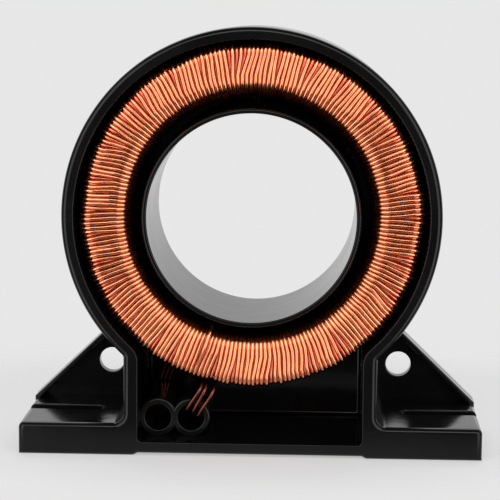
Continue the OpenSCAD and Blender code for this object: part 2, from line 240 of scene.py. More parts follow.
def prism(outline, rings, place=lengthwise):
    """Vertices and faces of an outline swept through its rings, closed at both ends.

    The outline is a list of points, or a function that gives it for each station."""
    at = outline if callable(outline) else lambda along: outline
    count = len(at(rings[0][0]))
    verts = [place(u, v, along) for along, by in rings for u, v in inset(at(along), by)]
    faces = []
    for k in range(len(rings) - 1):
        for i in range(count):
            j = (i + 1) % count
            faces.append((k * count + i, k * count + j, (k + 1) * count + j, (k + 1) * count + i))
    last = (len(rings) - 1) * count
    faces.append(tuple(reversed(range(count))))
    faces.append(tuple(last + i for i in range(count)))
    return verts, faces


def solid(name, *shapes):
    """One temporary object that holds each of these shapes, with its normals facing out."""
    verts, faces = [], []
    for shape_verts, shape_faces in shapes:
        start = len(verts)
        verts += shape_verts
        faces += [tuple(start + i for i in face) for face in shape_faces]
    obj = mesh_object(name, verts, faces)
    bm = bmesh.new()
    bm.from_mesh(obj.data)
    bmesh.ops.recalc_face_normals(bm, faces=bm.faces)
    bm.to_mesh(obj.data)
    bm.free()
    return obj


def combine(target, tool, how):
    """Unites tool with target or cuts it away, and removes tool."""
    modifier = target.modifiers.new("combine", "BOOLEAN")
    modifier.operation = how
    modifier.solver = "EXACT"
    modifier.object = tool
    graph = bpy.context.evaluated_depsgraph_get()
    made = bpy.data.meshes.new_from_object(target.evaluated_get(graph))
    target.modifiers.clear()
    old, target.data = target.data, made
    bpy.data.meshes.remove(old)
    tool_mesh = tool.data
    bpy.data.objects.remove(tool)
    bpy.data.meshes.remove(tool_mesh)


def finish_edges(obj, sharp_deg=32):
    """Smooth shading with sharp creases, and normals that keep the flat faces flat."""
    weld = 0.001 * MM
    bm = bmesh.new()
    bm.from_mesh(obj.data)
    bmesh.ops.remove_doubles(bm, verts=bm.verts, dist=weld)
    bmesh.ops.dissolve_degenerate(bm, edges=bm.edges, dist=weld)
    for face in bm.faces:
        face.smooth = True
    for e in bm.edges:
        e.smooth = len(e.link_faces) != 2 or e.calc_face_angle() < math.radians(sharp_deg)
    bm.to_mesh(obj.data)
    bm.free()
    weighted = obj.modifiers.new("weighted", "WEIGHTED_NORMAL")
    weighted.keep_sharp = True
    weighted.weight = 100


def piece(obj, material, slot, *nodes):
    """Hands a finished object to the frame: its material, its body and the CAD nodes that it stands for; slot
    is not used.
    """
    obj.data.materials.clear()
    obj.data.materials.append(material)
    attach(obj, "root")
    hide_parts(*nodes)


# ---- materials ----
def new_material(name):
    """A node material, with its shader and a function that adds and sets a node."""
    material = bpy.data.materials.new(name)
    material.use_nodes = True
    tree = material.node_tree
    shader = tree.nodes["Principled BSDF"]

    def add(kind, **values):
        """A new node, with its settings and its inputs set by their names."""
        node = tree.nodes.new(kind)
        for key, value in values.items():
            if hasattr(node, key):
                setattr(node, key, value)
            else:
                node.inputs[key.replace("_", " ").title()].default_value = value
        return node

    return material, tree, shader, add


def set_inputs(node, values):
    """Sets inputs of a node by their names."""
    for name, value in values.items():
        node.inputs[name].default_value = value


def noise(tree, add, scale, detail=3.0, roughness=0.5):
    """Noise in the object's own coordinates, where scale is in features per metre."""
    place = add("ShaderNodeTexCoord")
    node = add("ShaderNodeTexNoise", scale=scale, detail=detail, roughness=roughness)
    tree.links.new(place.outputs["Object"], node.inputs["Vector"])
    return node


def ramp(tree, source, low, high, target, start=0.3, end=0.7):
    """Runs target from low to high, colours or grey levels, while source runs from start to end."""
    node = tree.nodes.new("ShaderNodeValToRGB")
    for element, at, colour in zip(node.color_ramp.elements, (start, end), (low, high)):
        element.position = at
        element.color = (*colour, 1) if isinstance(colour, tuple) else (colour, colour, colour, 1)
    tree.links.new(source, node.inputs["Fac"])
    tree.links.new(node.outputs["Color"], target)


def bump(tree, shader, height, distance, strength=1.0):
    """A bump of that depth in metres on the shader."""
    node = tree.nodes.new("ShaderNodeBump")
    set_inputs(node, {"Distance": distance, "Strength": strength})
    tree.links.new(height, node.inputs["Height"])
    tree.links.new(node.outputs["Normal"], shader.inputs["Normal"])


def black_plastic():
    """Satin black moulding: a very fine grain, and faint flow marks in its gloss."""
    material, tree, shader, add = new_material("black_plastic")
    flow = noise(tree, add, scale=60.0, detail=4.0).outputs["Fac"]
    darkest, palest = (0.0025, 0.0025, 0.0027), (0.0040, 0.0040, 0.0043)
    ramp(tree, flow, darkest, palest, shader.inputs["Base Color"], start=0.35)
    ramp(tree, flow, 0.10, 0.17, shader.inputs["Roughness"])
    set_inputs(shader, {"Specular IOR Level": 0.24})
    grain = noise(tree, add, scale=9000.0, detail=2.0)
    swell = noise(tree, add, scale=130.0, detail=2.0)
    grain_share = 0.02
    both = add("ShaderNodeMath", operation="MULTIPLY_ADD")
    both.inputs[1].default_value = grain_share
    tree.links.new(grain.outputs["Fac"], both.inputs[0])
    tree.links.new(swell.outputs["Fac"], both.inputs[2])
    bump(tree, shader, both.outputs[0], distance=0.0002, strength=0.35)
    return material


def copper(name, deep, bright, rough=0.12, coat=1.0):
    """Enamelled copper: red-gold metal whose colour drifts along the wire, under a clear coat."""
    material, tree, shader, add = new_material(name)
    drift = noise(tree, add, scale=350.0).outputs["Fac"]
    ramp(tree, drift, deep, bright, shader.inputs["Base Color"])
    ramp(tree, drift, rough, rough + 0.08, shader.inputs["Roughness"])
    set_inputs(shader, {"Metallic": 1.0, "Specular Tint": (0.75, 0.30, 0.12, 1),
                        "Coat Weight": coat, "Coat Roughness": 0.12, "Coat IOR": 1.75})
    dents = noise(tree, add, scale=500.0, detail=1.0)
    bump(tree, shader, dents.outputs["Fac"], distance=0.00003, strength=0.15)
    return material


def metal(name, colour, rough):
    """Plain turned or pressed metal with a slightly uneven polish."""
    material, tree, shader, add = new_material(name)
    polish = noise(tree, add, scale=800.0, detail=4.0).outputs["Fac"]
    ramp(tree, polish, tuple(0.82 * c for c in colour), colour, shader.inputs["Base Color"])
    ramp(tree, polish, rough, rough + 0.12, shader.inputs["Roughness"])
    set_inputs(shader, {"Metallic": 1.0})
    marks = noise(tree, add, scale=6000.0, detail=2.0)
    bump(tree, shader, marks.outputs["Fac"], distance=0.00001, strength=0.5)
    return material


def board(name, colour, scale):
    """Fibrous insulation: pressed board or woven tape."""
    material, tree, shader, add = new_material(name)
    fibre = noise(tree, add, scale, detail=6.0, roughness=0.7).outputs["Fac"]
    ramp(tree, fibre, tuple(0.7 * c for c in colour), colour, shader.inputs["Base Color"])
    set_inputs(shader, {"Roughness": 0.8})
    bump(tree, shader, fibre, distance=0.00005)
    return material


PLASTIC = black_plastic()
COPPER_TOP = copper("copper_top", deep=(0.72, 0.21, 0.065), bright=(0.84, 0.31, 0.115))
# Painted shade: the deeper layers' copper is written a darker, deeper red than the top layer's, standing in
# for the shade and red interreflection between the strands.
COPPER_UNDER_SHADED = copper("copper_under", deep=(0.56, 0.07, 0.012), bright=(0.70, 0.12, 0.025))
# Painted shade: the leads' copper is written far darker than the winding's, standing in for the shade that
# the leads lie in.
COPPER_LEAD_SHADED = copper("copper_lead", deep=(0.10, 0.012, 0.003), bright=(0.17, 0.024, 0.007),
                     rough=0.10, coat=0.35)
# Painted shade: the bushes' brass is written dark, standing in for the shade deep inside the bosses' bores.
BRASS_SHADED = metal("dulled_brass", (0.16, 0.105, 0.045), rough=0.42)
STEEL = metal("plated_steel", (0.62, 0.62, 0.60), rough=0.22)
CORE_STEEL = metal("core_steel", (0.36, 0.36, 0.38), rough=0.35)
EDGE_BOARD = board("edge_board", (0.72, 0.64, 0.46), scale=1500.0)
TAPE = board("core_tape", (0.66, 0.58, 0.38), scale=2500.0)


# ---- the housing ----
def shell_r_at(y):
    """The shell's outer radius, which shrinks towards the rear by the mould's draft."""
    return SHELL_R - (y - FRONT_Y) * DRAFT


def body_outline(y):
    """The moulding seen from the front, without its gussets: feet, box and round shell."""
    return mirrored(
        [(BOX_IN_X, FLOOR_Z), (BOX_IN_X + 2 * FLOOR_LIFT, BASE_Z), (FOOT_X, BASE_Z)]
        + arc(FOOT_X - FOOT_CORNER_R, FOOT_TOP_Z - FOOT_CORNER_R, FOOT_CORNER_R, 0, 90, 6)
        + arc(BOX_X + FOOT_FILLET, FOOT_TOP_Z + FOOT_FILLET, FOOT_FILLET, 270, 180, 10)
        + shoulder(shell_r_at(y), BOX_X, SHOULDER_OUT_R, 6))


def slope_meets(circle_r, drop):
    """Where the gusset's sloping edge, lowered by drop, meets a circle about the window's axis."""
    # The edge is z = lift - x * FLANGE_SLOPE.
    lift = TOE_Z - drop + FOOT_X * FLANGE_SLOPE
    a, b, c = 1 + FLANGE_SLOPE ** 2, -2 * lift * FLANGE_SLOPE, lift ** 2 - circle_r ** 2
    x = (-b + math.sqrt(b * b - 4 * a * c)) / (2 * a)
    return x, lift - x * FLANGE_SLOPE


def slab_outline(y):
    """The rear slab: the body with its two gussets, up to their sloping edges."""
    x, z = slope_meets(shell_r_at(y), 0)
    start = math.degrees(math.atan2(z, x))
    return mirrored(
        [(BOX_IN_X, FLOOR_Z), (BOX_IN_X + 2 * FLOOR_LIFT, BASE_Z), (FOOT_X, BASE_Z), (FOOT_X, TOE_Z)]
        + arc(0, 0, shell_r_at(y), start, CROWN, SLAB_STEPS))


def flange_outline():
    """The strip along a gusset's sloping edge, its upper end buried in the shell's wall."""
    drop = FLANGE_T / math.cos(math.atan(FLANGE_SLOPE))
    buried = SHELL_R - SHELL_WALL / 2
    return [(FOOT_X, TOE_Z - drop), (FOOT_X, TOE_Z), slope_meets(buried, 0), slope_meets(buried, drop)]


def cavity_outline():
    """The space inside the shell and the box below it."""
    return mirrored(
        arc(BOX_IN_X - FLOOR_CORNER_R, FLOOR_TOP_Z + FLOOR_CORNER_R, FLOOR_CORNER_R, 270, 360, 5)
        + shoulder(SHELL_IN_R, BOX_IN_X, THROAT_R, 12))


def slot_outline():
    """A foot's bolt slot from above, open at the foot's end."""
    mouth = FOOT_X + PAST
    return [(mouth, -SLOT_R), (mouth, SLOT_R)] + arc(SLOT_MID_X, 0, SLOT_R, 90, 270, 24)


def boss_shape(x):
    """A terminal boss, with a small fillet at its root in the rear wall."""
    rings = stations(BOSS_FRONT_Y, REAR_IN_Y - EDGE_R, BOSS_EDGE_R)
    rings += [(REAR_IN_Y - a, -EDGE_R + d) for a, d in reversed(edge(EDGE_R))]
    return prism(ring(x, BOSS_Z, BOSS_R), rings + [(REAR_IN_Y + SINK, -EDGE_R)])


def tube_shape():
    """The wall round the window, before it is bored, with a fillet at its root."""
    rings = stations(FRONT_Y, REAR_IN_Y - CAVITY_R, TUBE_EDGE_R)
    rings += [(REAR_IN_Y - CAVITY_R * (1 - math.sin(a)), -CAVITY_R * (1 - math.cos(a)))
              for a in np.linspace(0, math.pi / 2, 6)[1:]]
    return prism(ring(0, 0, TUBE_R, WINDOW_STEPS), rings + [(REAR_IN_Y + SINK, -CAVITY_R)])


def bar(turn_deg, r_low, r_high, y_low, y_high):
    """A straight bar of a rib's width that points out from the axis, turned by turn_deg."""
    a = math.radians(turn_deg)
    out, side = np.array([math.cos(a), math.sin(a)]), np.array([-math.sin(a), math.cos(a)]) * RIB_W / 2
    corners = [out * r_low - side, out * r_high - side, out * r_high + side, out * r_low + side]
    return prism([tuple(c) for c in corners], stations(y_low, y_high, RIB_EDGE_R))


def rib_shapes():
    """The ribs on the rear wall that carry the winding."""
    return [bar(360 / RIB_COUNT * (i + 0.5), TUBE_R - BURIED, SHELL_IN_R - WINDING_OUT_GAP,
                WINDING_REAR, REAR_IN_Y + SINK) for i in range(RIB_COUNT)]


def upstand_shapes():
    """The short upstands that centre the winding's rim."""
    return [bar(turn_deg, WINDING_R + UPSTAND_GAP, SHELL_IN_R + BURIED,
                WINDING_REAR - UPSTAND_REACH, REAR_IN_Y + SINK / 2) for turn_deg in UPSTAND_AT]


def hole(x, z, r, y_low, y_high, flare, steps=64):
    """A round cutter along Y that leaves rounded edges."""
    return prism(ring(x, z, r, steps), cut_stations(y_low, y_high, flare))


def hole_shapes():
    """The cutters of the window, the bosses' bores, the webs' holes and the feet's slots."""
    slot = cut_stations(BASE_Z, FOOT_TOP_Z, SLOT_EDGE_R)
    return [
        hole(0, 0, WINDOW_R, FRONT_Y, REAR_Y, BORE_EDGE_R, WINDOW_STEPS),
        *(hole(x, BOSS_Z, BOSS_HOLE_R, BOSS_FRONT_Y, REAR_Y, EDGE_R) for x in (INBOARD_X, OUTBOARD_X)),
        *(hole(x, WEB_HOLE_Z, WEB_HOLE_R, REAR_Y - WEB_T, REAR_Y, EDGE_R)
          for x in (WEB_HOLE_X, -WEB_HOLE_X)),
        *(prism(outline, slot, upright) for outline in (slot_outline(), flipped(slot_outline()))),
    ]


def notch_shape():
    """The cutter of the notch through which the starting leads enter the outboard boss from above."""
    rear, top = BUSH_FRONT_Y - NOTCH_LAND, BOSS_Z + BOSS_R + PAST
    left, right = OUTBOARD_X - NOTCH_W / 2, OUTBOARD_X + NOTCH_W / 2
    outline = [(left, BOSS_Z), (right, BOSS_Z), (right, top), (left, top)]
    return prism(outline, stations(rear - NOTCH_LEN, rear))


def make_housing():
    """The whole moulding: united solids with rounded edges, hollowed and bored."""
    housing = solid("housing_shell", prism(body_outline, stations(FRONT_Y, REAR_Y - WEB_T + SINK, RIM_R)))
    slab = [(y, d + HAIR) for y, d in stations(REAR_Y - WEB_T, REAR_Y, 0, REAR_R)]
    combine(housing, solid("slab", prism(slab_outline, slab)), "UNION")
    flange = [(y, d + 3 * HAIR) for y, d in stations(REAR_Y - FLANGE_DEPTH, REAR_Y - WEB_T + SINK, EDGE_R)]
    combine(housing, solid("flanges", prism(flange_outline(), flange),
                           prism(flipped(flange_outline()), flange)), "UNION")
    cavity = [(FRONT_Y - PAST, -RIM_IN_R)] + stations(FRONT_Y, REAR_IN_Y, -RIM_IN_R, CAVITY_R)
    combine(housing, solid("cavity", prism(cavity_outline(), cavity)), "DIFFERENCE")
    fittings = {"tube": [tube_shape()], "boss_in": [boss_shape(INBOARD_X)],
                "boss_out": [boss_shape(OUTBOARD_X)], "ribs": rib_shapes(), "upstands": upstand_shapes()}
    for name, shapes in fittings.items():
        combine(housing, solid(name, *shapes), "UNION")
    combine(housing, solid("holes", *hole_shapes()), "DIFFERENCE")
    combine(housing, solid("notch", notch_shape()), "DIFFERENCE")
    finish_edges(housing)
    piece(housing, PLASTIC, "housing_plastic", "housing")


# ---- the winding ----
SEED = 7
TURNS = 196
# A strand's bends: the radius by the ring's flat face, the degrees it covers, the radius after it
BEND_IN = (8.5, 28, 4.2)
BEND_OUT = (6.5, 20, 1.3)
LEAST_BEND = 0.1                # radius of a bend in the deeper layers
LAYER_SINK = 0.9                # how much deeper each layer's bends are drawn than those above
LEAST_SINK = 0.45 * WIRE_D      # of a strand in the groove between two strands above it
CORNER_SHARE = 0.2              # how much of the way from one corner to the next a bend takes
REAR_STEP = 0.7                 # how much of the step to the next turn is made by the inner rear corner

# How unevenly the strands lie, sideways and in depth; a pair in brackets is a range
GROUP_SIZE = (4, 9)             # strands that lie side by side
GROUP_SPACING = (1.22, 1.42)    # between their centres at the outer edge
GROUP_LEAN = (0.35, 1.25)       # how far a group lies aside, as a share of the room beside it
LEAST_ROOM = 0.38
GROUP_DEPTH = (-0.22, 0.32)     # of a whole group at the outer edge
CLOSEST = WIRE_D + 0.03         # between two strands' centres there, once they are eased apart
WIDEST = 2.4 * WIRE_D
EASING_ROUNDS = 80
DRIFT_FRONT, DRIFT_REAR = 1.7, 1.4      # slow drift along the outer edge, at either face
STRAY_IN, STRAY_OUT = 0.05, 0.09        # each strand's own, along the inner and the outer edge
DEPTH_IN, DEPTH_OUT = 0.18, 0.02        # how deep the strands lie at the two edges
SCATTER_IN, SCATTER_OUT = (-0.16, 0.16), (-0.20, 0.42)      # and each strand's own depth there
SWELL = 0.12                    # how far the whole layer slowly rises and sinks
BOW = 0.16                      # how far a strand bows aside on the front face
PROUD_TURN = 136                # the one turn that is lifted off the ring's inner front corner
PROUD_BY = 2.1


def waves(rng, count, low, high):
    """A smooth random curve of the angle, mostly between -1 and 1, from waves that repeat low to
    high times in a full circle."""
    least, most = 0.4, 1.0
    parts = [(rng.randint(low, high), rng.uniform(0, 2 * math.pi), rng.uniform(least, most))
             for _ in range(count)]
    total = sum(size for _, _, size in parts)
    gain = 1.4      # the waves' crests hardly ever meet
    return lambda angle: sum(size * math.sin(k * angle + at) for k, at, size in parts) / total * gain


def groups(rng):
    """Splits the turns into groups of strands that lie side by side, as first turn and count."""
    made, first = [], 0
    while first < TURNS:
        count = min(rng.randint(*GROUP_SIZE), TURNS - first)
        made.append((first, count))
        first += count
    return made


def outer_ends(rng, parts, drift):
    """Where the strands cross the outer edge: close together in a group, which leans to one side."""
    step = 2 * math.pi / TURNS
    pitch = step * WINDING_R
    angles = []
    for first, count in parts:
        spacing = rng.uniform(*GROUP_SPACING)
        room = count * (pitch - spacing) / 2
        lean = rng.choice((-1, 1)) * rng.uniform(*GROUP_LEAN) * max(room, LEAST_ROOM)
        middle = first + (count - 1) / 2
        for i in range(first, first + count):
            stray = (i - middle) * spacing + lean + rng.uniform(-STRAY_OUT, STRAY_OUT)
            angles.append(step * (middle + 0.5) + (stray + drift(step * i)) / WINDING_R)
    return eased(angles)


def eased(angles):
    """The strands pushed along the outer edge until hardly any overlap or leave a wide gap."""
    at = np.array(angles)
    for _ in range(EASING_ROUNDS):
        # Both strands beside a gap move by a quarter of what it is off.
        gap = (np.append(at[1:], at[0] + 2 * math.pi) - at) * WINDING_R
        push = (np.clip(gap, CLOSEST, WIDEST) - gap) * 0.5 / WINDING_R
        at += (np.roll(push, 1) - push) / 2
    return at.tolist()


def bend_reach(bend):
    """How much of the ring's face and of its side a bend takes."""
    wide, turn, tight = bend[0], math.radians(bend[1]), bend[2]
    return (wide * math.sin(turn) + tight * (1 - math.sin(turn)),
            wide * (1 - math.cos(turn)) + tight * math.cos(turn))


def outward(in_r, in_y, degrees):
    """The way out of a bend, that many degrees on from the ring's face towards its side."""
    a = math.radians(degrees)
    return np.array([-in_r * math.sin(a), -in_y * math.cos(a)])


def section(under):
    """A turn's centreline in its own plane, as rows of radius, station, inward normal and progress.

    Progress is 0 at the inner front corner, 1 at the outer front one, 2 at the outer rear one, 3 at
    the inner rear one and 4 back at the start. The line lies that far under the outer layer's."""
    half = WIRE_D / 2
    sides = {1: WINDING_IN_R + half, -1: WINDING_R - half}
    faces = {1: WINDING_FRONT + half, -1: WINDING_REAR - half}
    rows = []

    def corner(in_r, in_y, bend, steps, progress, from_side):
        """The bend where a face and a side meet; in_r and in_y are 1 or -1, towards its middle."""
        wide, turn, tight = bend
        centre = np.array([sides[in_r] + in_r * bend_reach(bend)[0], faces[in_y] + in_y * wide])
        knee = centre + outward(in_r, in_y, turn) * (wide - tight)
        degrees = [turn * i / steps for i in range(steps)]
        degrees += [turn + (90 - turn) * i / (steps + 1) for i in range(steps + 2)]
        made = []
        for a in degrees:
            out = outward(in_r, in_y, a)
            at = centre + out * (wide - under) if a <= turn else knee + out * max(tight - under, LEAST_BEND)
            made.append((*at, *-out))
        if from_side:
            made.reverse()
        for i, row in enumerate(made):
            rows.append((*row, progress + CORNER_SHARE * (i / (len(made) - 1) - 0.5)))

    def line(start, end, normal, progress, steps):
        """The straight stretch between two bends, without its ends; normal points into the ring."""
        for i in range(1, steps):
            t = i / steps
            rows.append((start[0] + (end[0] - start[0]) * t + normal[0] * under,
                         start[1] + (end[1] - start[1]) * t + normal[1] * under, *normal,
                         progress + CORNER_SHARE / 2 + (1 - CORNER_SHARE) * t))

    (face_in, side_in), (face_out, side_out) = bend_reach(BEND_IN), bend_reach(BEND_OUT)
    low_r, high_r, low_y, high_y = sides[1], sides[-1], faces[1], faces[-1]
    corner(1, 1, BEND_IN, steps=3, progress=0, from_side=True)
    line((low_r + face_in, low_y), (high_r - face_out, low_y), (0, 1), progress=0, steps=5)
    corner(-1, 1, BEND_OUT, steps=2, progress=1, from_side=False)
    line((high_r, low_y + side_out), (high_r, high_y - side_out), (-1, 0), progress=1, steps=3)
    corner(-1, -1, BEND_OUT, steps=2, progress=2, from_side=True)
    line((high_r - face_out, high_y), (low_r + face_in, high_y), (0, -1), progress=2, steps=4)
    corner(1, -1, BEND_IN, steps=2, progress=3, from_side=False)
    line((low_r, high_y - side_in), (low_r, low_y + side_in), (1, 0), progress=3, steps=3)
    return rows


def between(table, progress):
    """The value at that progress, from a turn's values at its corners."""
    k = min(max(int(math.floor(progress)), 0), len(table) - 2)
    t = min(max(progress - k, 0.0), 1.0)
    return table[k] + (table[k + 1] - table[k]) * t


def tube_mesh(points, across, radius, sides):
    """Vertices and faces of a round wire along points; across is a direction beside it at each."""
    p = np.array(points, float)
    tangent = np.gradient(p, axis=0)
    tangent /= np.linalg.norm(tangent, axis=1)[:, None]
    b = np.array(across, float)
    b -= (b * tangent).sum(1)[:, None] * tangent
    b /= np.linalg.norm(b, axis=1)[:, None]
    n = np.cross(tangent, b)
    around = 2 * math.pi * np.arange(sides) / sides
    rings = (p[:, None, :] + radius * (np.cos(around)[None, :, None] * n[:, None, :]
                                       + np.sin(around)[None, :, None] * b[:, None, :]))
    verts = rings.reshape(-1, 3)
    last = (len(p) - 1) * sides
    k, i = np.meshgrid(np.arange(len(p) - 1), np.arange(sides), indexing="ij")
    j = (i + 1) % sides
    faces = np.stack([k * sides + i, (k + 1) * sides + i, (k + 1) * sides + j, k * sides + j], -1)
    faces = faces.reshape(-1, 4)
    caps = [tuple(range(sides)), tuple(reversed(range(last, last + sides)))]
    return verts, [tuple(f) for f in faces.tolist()] + caps


def top_layer(rng):
    """The outer layer's turns: each has its angle and its depth under the surface at its corners."""
    drift = waves(rng, count=6, low=2, high=8)
    bulge = waves(rng, count=5, low=3, high=11)
    swell = waves(rng, count=6, low=4, high=17)
    parts = groups(rng)
    front = outer_ends(rng, parts, lambda a: DRIFT_FRONT * drift(a))
    rear = outer_ends(rng, parts, lambda a: DRIFT_REAR * drift(a))
    tiers = [tier for _, count in parts for tier in [rng.uniform(*GROUP_DEPTH)] * count]
    turns = []
    for i in range(TURNS):
        a = 2 * math.pi * (i + 0.5) / TURNS
        inner = a + rng.uniform(-STRAY_IN, STRAY_IN) / WINDING_IN_R
        depth_in = DEPTH_IN + SWELL * bulge(a) + rng.uniform(*SCATTER_IN)
        depth_out = DEPTH_OUT + tiers[i] + SWELL * swell(a) + rng.uniform(*SCATTER_OUT)
        turns.append(([inner, front[i], rear[i], inner], [depth_in, depth_out, depth_out, depth_in]))
    return turns


def with_next(turns):
    """Pairs of each turn and the next one, which after the last is the first, a full circle on."""
    angles, depths = turns[0]
    return zip(turns, turns[1:] + [([a + 2 * math.pi for a in angles], depths)])


def layer_below(turns):
    """The next layer down: each strand lies in the groove between two strands of the layer above."""
    radii = (WINDING_IN_R, WINDING_R, WINDING_R, WINDING_IN_R)
    below = []
    for turn, following in with_next(turns):
        angles, depths = [], []
        for r, a, next_a, depth, next_depth in zip(radii, turn[0], following[0], turn[1], following[1]):
            gap = abs(next_a - a) * r
            sink = math.sqrt(max(WIRE_D ** 2 - gap ** 2 / 4, LEAST_SINK ** 2))
            angles.append((a + next_a) / 2)
            depths.append((depth + next_depth) / 2 + sink)
        below.append((angles, depths))
    return below


def wind(name, turns, rng, material, node, under, sides):
    """A layer of wire: one strand that goes round the ring's section once for each turn."""
    rows = section(under)
    points, across = [], []
    for (angles, depths), (next_angles, next_depths) in with_next(turns):
        angles, depths = angles + next_angles[:1], depths + next_depths[:1]
        angles[3] += REAR_STEP * (angles[4] - angles[0])
        bow = rng.uniform(-BOW, BOW)
        for r, y, in_r, in_y, progress in rows:
            turn = between(angles, progress) + bow / r * math.sin(math.pi * min(max(progress, 0), 1))
            sink = between(depths, progress) - under
            r, y = r + in_r * sink, y + in_y * sink
            points.append((r * math.cos(turn), y, r * math.sin(turn)))
            across.append((-math.sin(turn), 0, math.cos(turn)))
    verts, faces = tube_mesh(points, across, WIRE_D / 2, sides)
    piece(mesh_object(name, verts, faces), material, "copper_wire", node)


def make_winding():
    """The outer layer and the two layers under it, whose wires have fewer sides."""
    rng = random.Random(SEED)
    turns = top_layer(rng)
    under = layer_below(turns)
    first = layer_below(under)
    turns[PROUD_TURN][1][0] -= PROUD_BY
    wind("winding_turns", turns, rng, COPPER_TOP, "winding_outer", under=0.0, sides=12)
    wind("winding_under", under, rng, COPPER_UNDER_SHADED, "winding_inner", under=LAYER_SINK, sides=8)
    wind("winding_first", first, rng, COPPER_UNDER_SHADED, "winding_inner", under=2 * LAYER_SINK, sides=6)


# ---- the leads ----
BUNDLE_R = 1.3 * WIRE_D / 2     # of the circle on which the centres of a bundle's three strands lie
LEAD_PITCH = WIRE_D + 0.2
LEAD_GAP = 0.05                 # between a lead and the winding that it lies on
CUP_DEPTH = 2.4                 # of the cup in a bush that takes the bundle's end
CUP_GAP = 0.3                   # between the bundle's end and the cup's floor
LEAD_STEPS = 12                 # rings from one point of a route to the next
LEAD_SIDES = 14


def curve(points, steps):
    """A smooth curve through points, with that many steps from one to the next."""
    p = [np.array(q, float) for q in (points[0], *points, points[-1])]
    out = []
    for i in range(1, len(p) - 2):
        a, b, c, d = p[i - 1:i + 3]
        for t in np.arange(steps) / steps:
            out.append(0.5 * (2 * b + (c - a) * t + (2 * a - 5 * b + 4 * c - d) * t ** 2
                              + (3 * b - a - 3 * c + d) * t ** 3))
    return out + [p[-1]]


def on_winding(x):
    """Height of a wire's centre where it lies on the underside of the winding at x."""
    return -math.sqrt((WINDING_R + WIRE_D / 2 + LEAD_GAP) ** 2 - x ** 2)


def in_bundle(i):
    """Place of strand i in the round bundle of three."""
    a = math.radians(150 - 120 * i)
    return np.array([BUNDLE_R * math.cos(a), 0, BUNDLE_R * math.sin(a)])


# The points of both routes were chosen one by one, as in the part's source.
def finish_route(i):
    """The finishing end: from the winding's rim at the front down into the inboard boss."""
    x = INBOARD_X + 3.3 + (0, 1, 2.8)[i] * LEAD_PITCH
    mouth = ((-1.3, 1.2), (0.6, 0.6), (2.0, -0.7))[i]
    z, mx, mz = on_winding(x), INBOARD_X + mouth[0], BOSS_Z + mouth[1]
    hold = np.array([INBOARD_X, 0, BOSS_Z]) + in_bundle(i)
    f, b = WINDING_FRONT, BOSS_FRONT_Y
    return [(x, f + 12, z), (x, f + 7.5, z), (x, f + 4.6, z - 0.3), (x - 0.1, f + 2.9, z - 1.6),
            ((3 * x + mx) / 4, f + 2.2, (2 * z + mz) / 3), ((x + 3 * mx) / 4, b - 3.6, (z + 2 * mz) / 3),
            (mx, b - 2.6, mz + 1.3), (mx, b - 0.6, mz + 0.1),
            ((mx + hold[0]) / 2, b + 3, (mz + hold[2]) / 2), hold + (0, b + 8, 0),
            hold + (0, BUSH_FRONT_Y - 8, 0), hold + (0, BUSH_FRONT_Y + CUP_DEPTH - CUP_GAP, 0)]


def start_route(i):
    """The starting end: from the rim near the rear through the notch of the outboard boss."""
    x = OUTBOARD_X + 2.2 + i * LEAD_PITCH
    z, nx, f = on_winding(x), OUTBOARD_X + (i - 1) * LEAD_PITCH, BUSH_FRONT_Y
    hold = np.array([OUTBOARD_X, 0, BOSS_Z]) + in_bundle(2 * i)
    return [(x, f - 15, z), (x, f - 8.5, z), (x, f - 5.6, z - 0.3), (x - 0.2, f - 3.6, z - 2.2),
            ((x + nx) / 2, f - 3.1, (z + BOSS_Z + BOSS_R) / 2), (nx, f - 3, BOSS_Z + BOSS_R),
            (nx, f - 2.9, BOSS_Z + 2.6), ((nx + hold[0]) / 2, f - 2, hold[2] + 0.5),
            hold + (0, f - 0.3, 0), hold + (0, f + CUP_DEPTH - CUP_GAP, 0)]


def make_lead(name, route):
    """One strand of a lead as a smooth round wire."""
    points = curve(route, LEAD_STEPS)
    verts, faces = tube_mesh(points, [(1, 0, 0)] * len(points), WIRE_D / 2, LEAD_SIDES)
    piece(mesh_object(name + "_wire", verts, faces), COPPER_LEAD_SHADED, "copper_wire", name)


def make_leads():
    """Three strands at each end of the winding."""
    for i, letter in enumerate("abc"):
        make_lead("finish_lead_" + letter, finish_route(i))
        make_lead("start_lead_" + letter, start_route(i))


# ---- CAD nodes that stay ----
def dress_nodes():
    """Gives the CAD nodes that stay their materials."""
    kept = {"core_ring": CORE_STEEL, "edge_ring_front": EDGE_BOARD, "edge_ring_rear": EDGE_BOARD,
            "core_tape": TAPE, "terminal_bush_inboard": BRASS_SHADED, "terminal_bush_outboard": BRASS_SHADED,
            "terminal_washers": STEEL, "terminal_screws": STEEL}
    for name, material in kept.items():
        mesh = frame["nodes"][name].data
        mesh.materials.clear()
        mesh.materials.append(material)


# ---- stage ----
PALE = 0.80             # how bright the background is to the camera
AMBIENT = 0.40          # and what it gives the object as light
UNLIT = 0.06            # how bright the studio in front of the object is in gloss and in glass
UNLIT_TO, PALE_FROM = -0.3, 0.6     # where it turns from unlit to pale, as the Y of a direction
FLOOR_GLOW = 0.78       # how bright the floor's own glow is
FLOOR_SHARE = 0.55      # and its share in what the camera, gloss and glass show of the floor
SHEET_R = 130.0         # of the floor's sheet, which is whole up to SHEET_WHOLE_R
SHEET_WHOLE_R = 65.0
SHEET_STEPS = 96
SHEET_STRETCH = 1.6     # of the sheet along X
SHEET_Y = 45.0          # of the sheet's middle, behind the object's
SHEET_DROP = 0.02       # of the sheet under the feet

CAMERA_AZIMUTH, CAMERA_ELEVATION, CAMERA_ROLL = 2.11, 7.72, 0.49    # degrees
CAMERA_TARGET = (-1.09, 0, -11.95)      # millimetres, as the distance is
CAMERA_DISTANCE = 605
CAMERA_LENS = 147.07

